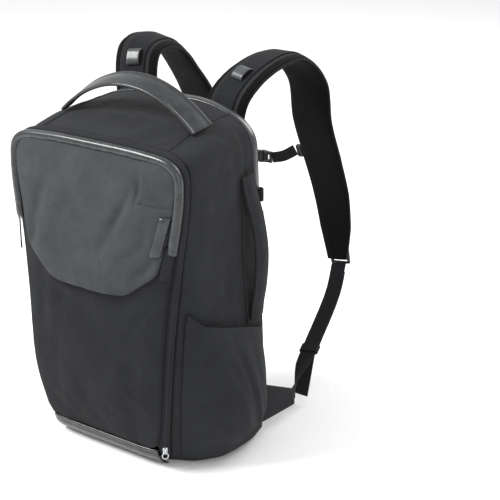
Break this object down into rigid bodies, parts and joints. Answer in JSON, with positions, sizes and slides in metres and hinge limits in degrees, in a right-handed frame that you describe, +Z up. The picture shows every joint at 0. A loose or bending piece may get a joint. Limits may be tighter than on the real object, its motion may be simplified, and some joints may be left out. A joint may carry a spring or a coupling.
{
  "type": "camera backpack",
  "caption": "Camera backpack with a zipped front flap, coated top handle, side pockets, padded back door and shaped shoulder straps standing behind it.",
  "frame": {"origin": "on the floor under the middle of the body", "axes": "+Z up, -Y to the front panel, +Y to the wearer's back, +X to the wearer's right"},
  "size_m": [0.3806, 0.4594, 0.5412],
  "materials": {
    "canvas": "matt woven canvas",
    "flap_canvas": "matt woven canvas, lighter",
    "coated_cloth": "smooth coated cloth with a soft shine",
    "zipper_tape": "ribbed zipper tape",
    "air_mesh": "matt spacer mesh",
    "webbing": "flat woven webbing",
    "plastic": "satin",
    "rubber": "matt moulded",
    "steel": "polished"
  },
  "bodies": {
    "pack": {"body_shell": "canvas", "front_panel": "canvas", "front_flap": "flap_canvas", "front_zipper_tape": "zipper_tape", "front_trim": "coated_cloth", "base_band": "coated_cloth", "side_pocket_left": "canvas", "side_pocket_right": "canvas", "side_handle": "canvas", "top_handle": "coated_cloth", "back_zipper_tape": "zipper_tape", "back_door": "canvas", "back_pad_left": "air_mesh", "back_pad_right": "air_mesh", "shoulder_strap_left": "air_mesh", "ribbed_webbing_left": "webbing", "strap_loop_left": "coated_cloth", "ladder_lock_left": "plastic", "lower_webbing_left": "webbing", "webbing_tail_left": "webbing", "webbing_keeper_left": "webbing", "wing_left": "canvas", "sternum_clip_left": "plastic", "sternum_strap_left": "webbing", "sternum_plug": "plastic", "shoulder_strap_right": "air_mesh", "ribbed_webbing_right": "webbing", "strap_loop_right": "coated_cloth", "ladder_lock_right": "plastic", "lower_webbing_right": "webbing", "webbing_tail_right": "webbing", "webbing_keeper_right": "webbing", "wing_right": "canvas", "sternum_clip_right": "plastic", "sternum_strap_right": "webbing", "sternum_socket": "plastic", "side_tab_left": "webbing", "side_tab_right": "webbing", "zip_garage": "coated_cloth", "front_slider_right": "steel", "front_slider_left": "steel", "front_pull_left": "rubber", "back_slider_left": "steel", "back_pull_left": "rubber", "back_slider_right": "steel", "back_pull_right": "rubber"},
    "metal_pull": {"front_pull_right": "steel"}
  },
  "joints": [
    {"name": "metal_pull_hinge", "type": "hinge", "parent": "pack", "child": "metal_pull", "pos_m": [0.10756, -0.07837, 0.0344], "axis": [-0.7071, -0.7071, 0], "range_deg": [0, 150]}
  ]
}
